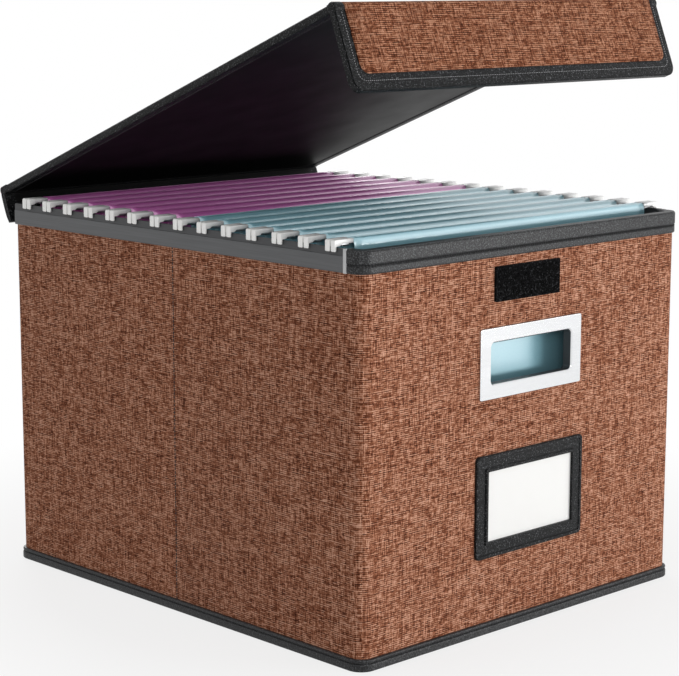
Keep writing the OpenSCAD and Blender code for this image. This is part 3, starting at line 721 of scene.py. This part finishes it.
def folder_hooks(index, middle):
    points, faces, finish = [], [], []
    for sign in (-1, 1):
        for rod in (middle - ROD_OFFSET, middle + ROD_OFFSET):
            for kind, outline, thick in ((0, hook_outline(), HOOK_T), (1, STEEL_STRIP, STEEL_T)):
                plate(points, faces, outline, sign, rod, thick)
                finish += [kind] * (len(faces) - len(finish))
    mesh = bpy.data.meshes.new("hooks_%02d" % index)
    mesh.from_pydata(points, [], faces)
    piece = new_piece(mesh.name, mesh, coated_steel, bright_steel)
    for face, kind in zip(mesh.polygons, finish):
        face.material_index = kind
    smooth(mesh)
    face_outwards(mesh)
    dip = piece.modifiers.new("dip", "BEVEL")
    dip.width, dip.segments, dip.limit_method, dip.angle_limit = 0.75 * MM, 3, "ANGLE", math.radians(40)
    return settle(piece)


hook_pieces = [folder_hooks(i, folder_middle(i)) for i in range(1, 15)]
print("hooks:", len(hook_pieces), "sets of", len(hook_pieces[0].data.polygons), "faces")


# %% [markdown]
# ## Grip liners
#
# Inside the metal frames the collar through the wall is black plastic, so only the frame's face and its small
# chamfer shine. Those faces of the CAD part get the second material.

# %% Build: grip liners
COLLAR_HALF, FACE_DEPTH = 41 * MM, 0.75 * MM


def second_finish(node, material, belongs):
    """Gives a CAD part a second material on the faces that a rule picks."""
    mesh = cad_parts[node].data
    mesh.materials.append(material)
    picked = [face for face in mesh.polygons if belongs(face)]
    for face in picked:
        face.material_index = 1
    print(node, "has", len(picked), "faces in", material.name)


def in_collar(face):
    through = abs(face.normal.y) < 0.3 and abs(face.center.x) < COLLAR_HALF
    return through and abs(face.center.y) < HALF_D + FACE_DEPTH


second_finish("front_handle_bezel", moulded_abs, in_collar)
second_finish("back_handle_bezel", moulded_abs, in_collar)


# %% [markdown]
# ## Rails: a rib drawn darker as painted shade, and pale end caps
#
# Above its step each rail gets a second material on the faces of the CAD part above that height: matter, and
# darker as painted shade of the hooks over the rib. The front ends are closed by pale caps, which catch the light as
# thin upright strips.

# %% Build: rail finish and end caps
RAIL_STEP_Z = 261.5 * MM
CAP_Y, CAP_Z = (-170.0 * MM, -167.3 * MM), (251.0 * MM, 266.2 * MM)
for node in ("left_rail", "right_rail"):
    # The faces above the step get the darker rib material: painted shade.
    second_finish(node, rib_abs_painted_shade, lambda face: face.center.z > RAIL_STEP_Z)


def rounded_box(name, low, high, material, width):
    mesh = bpy.data.meshes.new(name)
    shell = bmesh.new()
    bmesh.ops.create_cube(shell, size=1.0)
    for vertex in shell.verts:
        vertex.co = [(a + b) / 2 + v * (b - a) for a, b, v in zip(low, high, vertex.co)]
    bmesh.ops.bevel(shell, geom=list(shell.edges), offset=width, segments=3, profile=0.5, affect="EDGES")
    shell.to_mesh(mesh)
    shell.free()
    smooth(mesh)
    return new_piece(name, mesh, material)


end_caps = []
for name, sign in (("left_rail_cap", -1), ("right_rail_cap", 1)):
    x0, x1 = sorted((sign * (HALF_W + 0.4 * MM), sign * (HALF_W + 2.15 * MM)))
    end_caps.append(rounded_box(name, (x0, CAP_Y[0], CAP_Z[0]), (x1, CAP_Y[1], CAP_Z[1]), cap_abs, 0.35 * MM))
print("rail caps:", len(end_caps))


# %% [markdown]
# ## Stitches with Geometry Nodes
#
# All the bound edges are sewn with a lockstitch, which shows as a row of short round dashes. Modelling each
# stitch by hand would be hopeless, but a rule is easy: walk along a curve in equal steps and put a small
# stretched ball at each, turned along the curve. One node tree does it for every seam, with its sizes as inputs.
# The thread is drawn up to twice as thick as real sewing thread, which would be thinner than a pixel.

# %% Node tree: a row of stitches
def stitch_tree():
    tree = bpy.data.node_groups.new("stitch_row", "GeometryNodeTree")
    face = tree.interface
    face.new_socket("Seam", in_out="INPUT", socket_type="NodeSocketGeometry")
    for label, value in (("Stitch pitch", 0.004), ("Stitch length", 0.003), ("Thread radius", 0.0004)):
        face.new_socket(label, in_out="INPUT", socket_type="NodeSocketFloat").default_value = value
    face.new_socket("Thread", in_out="INPUT", socket_type="NodeSocketMaterial")
    face.new_socket("Stitches", in_out="OUTPUT", socket_type="NodeSocketGeometry")
    given = add(tree, "NodeGroupInput").outputs
    pitch = {"Curve": given["Seam"], "Length": given["Stitch pitch"]}
    steps = add(tree, "GeometryNodeResampleCurve", pitch, mode="LENGTH")
    ball = add(tree, "GeometryNodeMeshUVSphere", {"Segments": 8, "Rings": 6, "Radius": 1.0})
    half = math_node(tree, "MULTIPLY", given["Stitch length"], 0.5)
    size = add(tree, "ShaderNodeCombineXYZ", {"X": given["Thread radius"], "Y": given["Thread radius"], "Z": half})
    stitch = add(tree, "GeometryNodeTransform", {"Geometry": ball.outputs["Mesh"], "Scale": size.outputs[0]})
    heading = add(tree, "GeometryNodeInputTangent")
    turn = add(tree, "FunctionNodeAlignRotationToVector", {"Vector": heading.outputs[0]}, axis="Z")
    sewn = {"Points": steps.outputs[0], "Instance": stitch.outputs[0], "Rotation": turn.outputs[0]}
    row = add(tree, "GeometryNodeInstanceOnPoints", sewn)
    real = add(tree, "GeometryNodeRealizeInstances", {"Geometry": row.outputs[0]})
    rounded = add(tree, "GeometryNodeSetShadeSmooth", {"Geometry": real.outputs[0]})
    dyed = add(tree, "GeometryNodeSetMaterial", {"Geometry": rounded.outputs[0], "Material": given["Thread"]})
    add(tree, "NodeGroupOutput", {"Stitches": dyed.outputs[0]})
    return tree


STITCHES = stitch_tree()


def run_tree(piece, tree, **inputs):
    """Adds a node tree to a piece as a modifier, and sets its inputs by their sockets' identifiers."""
    rule = piece.modifiers.new(tree.name, "NODES")
    rule.node_group = tree
    for item in tree.interface.items_tree:
        label = item.name.replace(" ", "_").lower()
        if item.in_out == "INPUT" and label in inputs:
            rule[item.identifier] = inputs.pop(label)
    assert not inputs, inputs


def sew(name, seams, material, pitch_mm, length_mm, radius_mm, matrix=Matrix()):
    """Rows of stitches along seams, each a list of points with a flag that says if it closes on itself."""
    curve = bpy.data.curves.new(name, "CURVE")
    curve.dimensions = "3D"
    for points, closed in seams:
        spline = curve.splines.new("POLY")
        spline.points.add(len(points) - 1)
        for slot, point in zip(spline.points, points):
            slot.co = (*point, 1.0)
        spline.use_cyclic_u = closed
    seam = new_piece(name + "_seam", curve)
    run_tree(seam, STITCHES, stitch_pitch=pitch_mm * MM, stitch_length=length_mm * MM,
             thread_radius=radius_mm * MM, thread=material)
    mesh = finished_mesh(seam, matrix)
    bpy.data.objects.remove(seam)
    return new_piece(name, mesh)


print("node tree", STITCHES.name, "with", len(STITCHES.nodes), "nodes")


# %% [markdown]
# ## Seams round the body
#
# The rim and the base are sewn in the groove between band and bead. Two rules draw nearly every seam on the box: a
# loop with four round corners, and a U with two. Both give flat points, which each seam then puts in its own plane.

# %% Seam lines, and the seams round the body
def rounded_loop(x0, y0, x1, y1, radius, steps):
    points = []
    for x, y, start in ((x1, y0, -90), (x1, y1, 0), (x0, y1, 90), (x0, y0, 180)):
        inward_x, inward_y = (-radius if x == x1 else radius), (-radius if y == y1 else radius)
        points += arc(x + inward_x, y + inward_y, radius, start, start + 90, steps)
    return points


def rounded_u(half, low, radius, end):
    """Down the left side from a height, round two corners and up the right side."""
    left = arc(radius - half, low + radius, radius, 180, 270, 6)
    right = arc(half - radius, low + radius, radius, 270, 360, 6)
    return [(-half, end), *left, *right, (half, end)]


RIM_OUT, BASE_OUT, BODY_R = 1.15 * MM, 1.3 * MM, 9 * MM
rim_line = rounded_u(HALF_W + RIM_OUT, -HALF_D - RIM_OUT, BODY_R + RIM_OUT, -168.3 * MM)
rim_seam = sew("rim_stitches", [([(x, y, 256.25 * MM) for x, y in rim_line], False)], thread, 2.2, 1.5, 0.6)
half_w, half_d = HALF_W + BASE_OUT, HALF_D + BASE_OUT
base_line = rounded_loop(-half_w, -half_d, half_w, half_d, BODY_R + BASE_OUT, 6)
base_seam = sew("base_stitches", [([(x, y, 5.5 * MM) for x, y in base_line], True)], thread, 2.2, 1.5, 0.5)
back_row = [(x * MM, HALF_D + 1.2 * MM, 262.5 * MM) for x in (-150, 150)]
back_seam = sew("back_rim_stitches", [(back_row, False)], thread, 2.6, 2.0, 0.25)
print("rim, base and back seams sewn")


# %% [markdown]
# ## Seam on the label frame
#
# The frame is stitched in its own groove, 2.85 mm inside its outer edge.

# %% Seam on the label frame
GROOVE_IN, GROOVE_R, GROOVE_OUT = 2.85 * MM, 1.6 * MM, 1.3 * MM
low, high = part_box("label_frame")
label_line = rounded_loop(low.x + GROOVE_IN, low.z + GROOVE_IN, high.x - GROOVE_IN, high.z - GROOVE_IN, GROOVE_R, 4)
label_row = [(x, -HALF_D - GROOVE_OUT, z) for x, z in label_line]
label_seam = sew("label_stitches", [(label_row, True)], thread, 2.0, 1.3, 0.4)
print("label frame sewn, along", len(label_row), "points")


# %% [markdown]
# ## Seams on the lid, the flap and the sides
#
# The lid's border is sewn above and below, and the flap's on both faces and once more round its hem, in a pale
# thread. Each side of the box has a row down its middle fold, where an empty box collapses.

# %% Seams on the lid, the flap and the sides
def flap_row(inset_side, inset_low, y, radius):
    line = rounded_u(LID_HALF - inset_side, FLAP_LOW + inset_low, radius, 272 * MM)
    return ([(x, y, z) for x, z in line], False)


lid_rows = [
    ([(s * (LID_HALF - 7.2 * MM), y, z) for y in (CREASE_Y + 4 * MM, PIPE.y - 4 * MM)], False)
    for s in (-1, 1)
    for z in (LID_Z1 + 0.05 * MM, LID_Z1 - LID_T - 0.05 * MM)
]
lid_seam = sew("lid_stitches", lid_rows, thread, 2.6, 2.0, 0.28, open_lid)
flap_rows = [flap_row(5.4 * MM, 6.2 * MM, y, 6 * MM) for y in (FLAP_FACE_Y - 0.05 * MM, FLAP_BACK_Y + 0.05 * MM)]
flap_seam = sew("flap_stitches", flap_rows, pale_thread, 1.7, 0.9, 0.2, open_lid)
hem_row = flap_row(0.9 * MM, 0.9 * MM, FLAP_FACE_Y + 0.35 * MM, 6.6 * MM)
hem_seam = sew("flap_hem_stitches", [hem_row], pale_thread, 1.9, 1.2, 0.28, open_lid)
side_rows = [([(s * (HALF_W - 0.1 * MM), -1.5 * MM, z * MM) for z in (8.5, 250.5)], False) for s in (-1, 1)]
side_seam = sew("side_fold_stitches", side_rows, thread, 2.6, 2.1, 0.4)
print("lid, flap and side folds sewn")


# %% [markdown]
# ## Rolled corners at the crease
#
# Where the lid's side binding turns down over the crease, the tape is doubled and stands up as a small roll. Each
# is a short barrel round the crease line, so it looks the same however the flap turns.

# %% Build: rolled corners
def barrel(name, x0, x1, y, z, radius, material):
    """A round bar along x with softly rounded ends, as a swept outline."""
    soft, around = 1.4 * MM, 32
    rings = arc(x0 + soft, radius - soft, soft, 180, 90, 5)
    rings += [(x0 + x1 - x, r) for x, r in reversed(rings)]
    points = [
        (x, y + r * math.cos(2 * math.pi * k / around), z + r * math.sin(2 * math.pi * k / around))
        for x, r in rings
        for k in range(around)
    ]
    faces = [
        (r * around + k, r * around + (k + 1) % around, (r + 1) * around + (k + 1) % around, (r + 1) * around + k)
        for r in range(len(rings) - 1)
        for k in range(around)
    ]
    faces += [tuple(reversed(range(around))), tuple(range(len(points) - around, len(points)))]
    mesh = bpy.data.meshes.new(name)
    mesh.from_pydata(points, [], faces)
    face_outwards(mesh)
    smooth(mesh)
    mesh.transform(open_lid)
    return new_piece(name, mesh, material)


corner_rolls = []
for name, s in (("left_corner_roll", -1), ("right_corner_roll", 1)):
    x0, x1 = sorted((s * (LINEN_HALF + 0.2 * MM), s * (LID_HALF + 0.2 * MM)))
    corner_rolls.append(barrel(name, x0, x1, CREASE_Y, ROLL_Z, 3.9 * MM, dark_binding))
print("corner rolls:", len(corner_rolls))


# %% [markdown]
# ## Closure tape
#
# Loop tape is a mat of fine tangled loops. A hair system could make them, but it can't be turned to plain mesh as
# simply as instances can. Points are scattered on the patch from a fixed seed, and a small ring of thread stands on
# each, turned at random, so that the patch has the soft broken edge of the real thing. The real threads are finer
# than a pixel, so fewer and thicker ones are drawn, about one loop to the square millimetre.

# %% Node tree: loop tape
def pile_tree():
    tree = bpy.data.node_groups.new("tape_pile", "GeometryNodeTree")
    face = tree.interface
    face.new_socket("Patch", in_out="INPUT", socket_type="NodeSocketGeometry")
    for label, value in (("Loops per square metre", 9e5), ("Loop radius", 0.0006), ("Thread radius", 0.00011)):
        face.new_socket(label, in_out="INPUT", socket_type="NodeSocketFloat").default_value = value
    face.new_socket("Tape", in_out="INPUT", socket_type="NodeSocketMaterial")
    face.new_socket("Pile", in_out="OUTPUT", socket_type="NodeSocketGeometry")
    given = add(tree, "NodeGroupInput").outputs
    spread = {"Mesh": given["Patch"], "Density": given["Loops per square metre"], "Seed": 7}
    dots = add(tree, "GeometryNodeDistributePointsOnFaces", spread)
    ring, wire = (
        add(tree, "GeometryNodeCurvePrimitiveCircle", {"Resolution": corners, "Radius": given[size]}, mode="RADIUS")
        for corners, size in ((7, "Loop radius"), (3, "Thread radius"))
    )
    loop = add(tree, "GeometryNodeCurveToMesh", {"Curve": ring.outputs[0], "Profile Curve": wire.outputs[0]})
    lean = {0: (0.6, -0.6, 0.0), 1: (2.4, 0.6, 6.28), "Seed": 11}
    turn = add(tree, "FunctionNodeRandomValue", lean, data_type="FLOAT_VECTOR")
    stand = {"Points": dots.outputs[0], "Instance": loop.outputs[0], "Rotation": turn.outputs[0]}
    pile = add(tree, "GeometryNodeInstanceOnPoints", stand)
    real = add(tree, "GeometryNodeRealizeInstances", {"Geometry": pile.outputs[0]})
    dyed = add(tree, "GeometryNodeSetMaterial", {"Geometry": real.outputs[0], "Material": given["Tape"]})
    add(tree, "NodeGroupOutput", {"Pile": dyed.outputs[0]})
    return tree


PILE, BARE_EDGE = pile_tree(), 0.9 * MM


def tape_pile(name, node, face_y, matrix):
    """Pile over a patch's outer face: a flat face stands in for it while the tree runs."""
    corners = [matrix.inverted() @ v.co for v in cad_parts[node].data.vertices]
    x0, x1 = min(c.x for c in corners) + BARE_EDGE, max(c.x for c in corners) - BARE_EDGE
    z0, z1 = min(c.z for c in corners) + BARE_EDGE, max(c.z for c in corners) - BARE_EDGE
    mesh = bpy.data.meshes.new(name)
    mesh.from_pydata([(x0, face_y, z0), (x1, face_y, z0), (x1, face_y, z1), (x0, face_y, z1)], [], [(0, 1, 2, 3)])
    base = new_piece(name + "_base", mesh)
    run_tree(base, PILE, loops_per_square_metre=9e5, loop_radius=0.6 * MM, thread_radius=0.12 * MM, tape=loop_tape)
    pile = finished_mesh(base, matrix)
    bpy.data.objects.remove(base)
    return new_piece(name, pile)


loop_pile = tape_pile("loop_pile", "closure_loop_patch", -HALF_D - 1.85 * MM, Matrix())
hook_pile = tape_pile("hook_pile", "closure_hook_patch", FLAP_BACK_Y + 1.85 * MM, open_lid)
print("pile:", len(loop_pile.data.polygons), "and", len(hook_pile.data.polygons), "faces")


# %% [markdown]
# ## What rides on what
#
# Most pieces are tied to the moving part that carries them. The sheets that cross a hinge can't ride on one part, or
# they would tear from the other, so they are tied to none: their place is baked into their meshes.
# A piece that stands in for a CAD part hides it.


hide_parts("linen_cover")
for piece in (body_linen, rim_seam, base_seam, back_seam, label_seam, side_seam, loop_pile, *end_caps):
    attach(piece, "root")
for piece in (lid_seam, *corner_rolls):
    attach(piece, "lid")
for piece in (flap_seam, hem_seam, hook_pile):
    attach(piece, "flap")
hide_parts("lid_cover", "flap_cover")
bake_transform(lid_linen)
for piece in (rear_linen, *rear_tapes):
    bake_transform(piece)
for i, (folder, hooks) in enumerate(zip(folder_pieces, hook_pieces), start=1):
    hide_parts("folder_%02d" % i)
    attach(folder, "file_%02d" % i)
    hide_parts("rods_%02d" % i)
    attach(hooks, "file_%02d" % i)


# %% [markdown]
# ## Floor
#
# A pale floor stands for a photographer's paper sweep. Near the box it is lit surface, so it keeps the shadow that
# sets the box down. Further off it fades into plain white for the rays that only look at it, the camera's and those
# seen in metal. Brighter lamps would whiten it too, but they would bleach the box as well.

# %% Floor
def seen_rays(tree):
    """Is 1 for rays that see the backdrop: the camera's, and those in metal and glass."""
    ray = add(tree, "ShaderNodeLightPath").outputs
    seen = math_node(tree, "MAXIMUM", ray["Is Camera Ray"], ray["Is Glossy Ray"])
    return math_node(tree, "MAXIMUM", seen, ray["Is Transmission Ray"])


EDGE, KEEP_R, FADE_R = 4.0, 0.22, 0.5
floor_mesh = bpy.data.meshes.new("studio_floor")
floor_mesh.from_pydata([(-EDGE, -EDGE, 0), (EDGE, -EDGE, 0), (EDGE, EDGE, 0), (-EDGE, EDGE, 0)], [], [(0, 1, 2, 3)])
floor_finish, tree, surface = new_material("pale_floor", Roughness=0.9, **{"Base Color": linear("#fafafa")})
studio_floor = new_piece("studio_floor", floor_mesh, floor_finish)
place = add(tree, "ShaderNodeTexCoord").outputs["Object"]
far = add(tree, "ShaderNodeVectorMath", {0: place}, operation="LENGTH").outputs["Value"]
fade = add(tree, "ShaderNodeMapRange", {0: far, 1: KEEP_R, 2: FADE_R, 3: 0.78, 4: 1.0}).outputs[0]
glow = add(tree, "ShaderNodeEmission", {"Color": linear("#ffffff"), "Strength": 1.0})
share = math_node(tree, "MULTIPLY", seen_rays(tree), fade)
mixed = add(tree, "ShaderNodeMixShader", {0: share, 1: surface.outputs[0], 2: glow.outputs[0]})
sink = [n for n in tree.nodes if n.bl_idname == "ShaderNodeOutputMaterial"][0]
tree.links.new(mixed.outputs[0], sink.inputs["Surface"])
print("floor", floor_finish.name, "fades from", KEEP_R, "to", FADE_R, "m")


# %% [markdown]
# ## World
#
# The room lights the box from all round. It is brighter round the horizon than overhead, as between four walls of
# soft light, so the box's sides get more than its top. Rays that only look at it see pure white.

# %% World
HORIZON, OVERHEAD = 0.6, 0.3
world = bpy.data.worlds.new("studio")
bpy.context.scene.world = world
world.use_nodes = True
tree = world.node_tree
tree.nodes.clear()
sky = add(tree, "ShaderNodeTexCoord").outputs["Generated"]
height = add(tree, "ShaderNodeSeparateXYZ", {"Vector": sky}).outputs["Z"]
level = add(tree, "ShaderNodeMapRange", {0: height, 1: 0.05, 2: 0.8, 3: HORIZON, 4: OVERHEAD}).outputs[0]
soft, white = (
    add(tree, "ShaderNodeBackground", {"Color": linear("#ffffff"), "Strength": strength}).outputs[0]
    for strength in (level, 1.0)
)
both = add(tree, "ShaderNodeMixShader", {0: seen_rays(tree), 1: soft, 2: white})
add(tree, "ShaderNodeOutputWorld", {"Surface": both.outputs[0]})
print("world lights from", HORIZON, "at the horizon to", OVERHEAD, "overhead")


# %% [markdown]
# ## Lamps
#
# Five soft lamps shape the box. A low broad key from the right makes the front brighter than the side, and skims
# under the lid. A fill lights the side from the left, a large one hangs over the top, and one behind shows the back.
# A high one picks out the folds of the folders, which shine because of their pearl coating.

# %% Lamps
def lamp(name, place, aim, size, watts):
    light = bpy.data.lights.new(name, "AREA")
    light.shape = "RECTANGLE"
    light.size, light.size_y = size
    light.energy = watts
    holder = bpy.data.objects.new(name, light)
    holder.location = place
    holder.rotation_euler = (Vector(aim) - Vector(place)).to_track_quat("-Z", "Y").to_euler()
    bpy.context.collection.objects.link(holder)


lamp("key", (0.9, -2.05, 0.16), (0, 0, 0.13), (1.4, 0.28), 24)
lamp("fill", (-1.7, -1.7, 0.8), (0, 0, 0.2), (1.0, 0.6), 9)
lamp("top", (0.2, 0.9, 2.2), (0, 0, 0.2), (1.6, 1.6), 5)
lamp("back", (1.4, 2.2, 0.9), (0, 0, 0.15), (1.4, 0.8), 16)
lamp("high", (1.5, -1.35, 0.95), (0, -0.1, 0.27), (1.0, 0.5), 2.2)
print("lamps:", len(bpy.data.lights))


# %% [markdown]
# ## Camera
#
# The picture to match was taken with a long lens from the left front, a little above the rim. The lens and the
# place come from fitting the box's straight edges, so a render lies over it. The colours are shown as they are
# written, with the Standard view transform.

# %% Camera
camera = bpy.data.objects.new("camera", bpy.data.cameras.new("camera"))
camera.data.sensor_fit = "HORIZONTAL"
camera.data.sensor_width = 36.0
camera.data.lens = 108.41
camera.data.clip_start = 0.01
camera.location = (-1.01072, -1.05320, 0.42907)
camera.rotation_euler = (math.radians(90 - 10.045), math.radians(-0.06), math.radians(-43.804))
bpy.context.collection.objects.link(camera)
bpy.context.scene.camera = camera
bpy.context.scene.view_settings.view_transform = "Standard"
print("camera: lens", round(camera.data.lens, 2), "mm")
